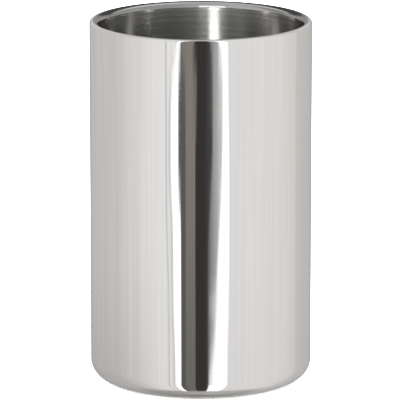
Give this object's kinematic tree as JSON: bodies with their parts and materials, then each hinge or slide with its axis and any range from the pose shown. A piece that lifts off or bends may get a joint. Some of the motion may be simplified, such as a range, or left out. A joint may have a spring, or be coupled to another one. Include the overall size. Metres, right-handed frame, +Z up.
{
  "type": "double-walled champagne cooler",
  "caption": "Free-standing double-walled steel cooler for a champagne or wine bottle: straight polished cylinder, rounded lip, satin inside, recessed closed base.",
  "frame": {"origin": "centre of the flat ring that the cooler stands on", "axes": "+Z up the cooler's axis, out of its mouth; the body is round, so X and Y are free"},
  "size_m": [0.12, 0.12, 0.196],
  "materials": {
    "polished_steel": "mirror-polished stainless steel",
    "satin_steel": "stainless steel brushed round the axis",
    "pressed_steel": "fine-spun stainless steel, lathe marks round the axis",
    "weld_steel": "brushed stainless weld bead with a faint straw tint",
    "vent_steel": "turned stainless steel, matt"
  },
  "bodies": {
    "root": {"outer_shell": "polished_steel", "inner_liner": "satin_steel", "rim_weld": "satin_steel", "base_plate": "pressed_steel", "base_weld": "weld_steel", "vent_plug": "vent_steel"}
  },
  "joints": []
}
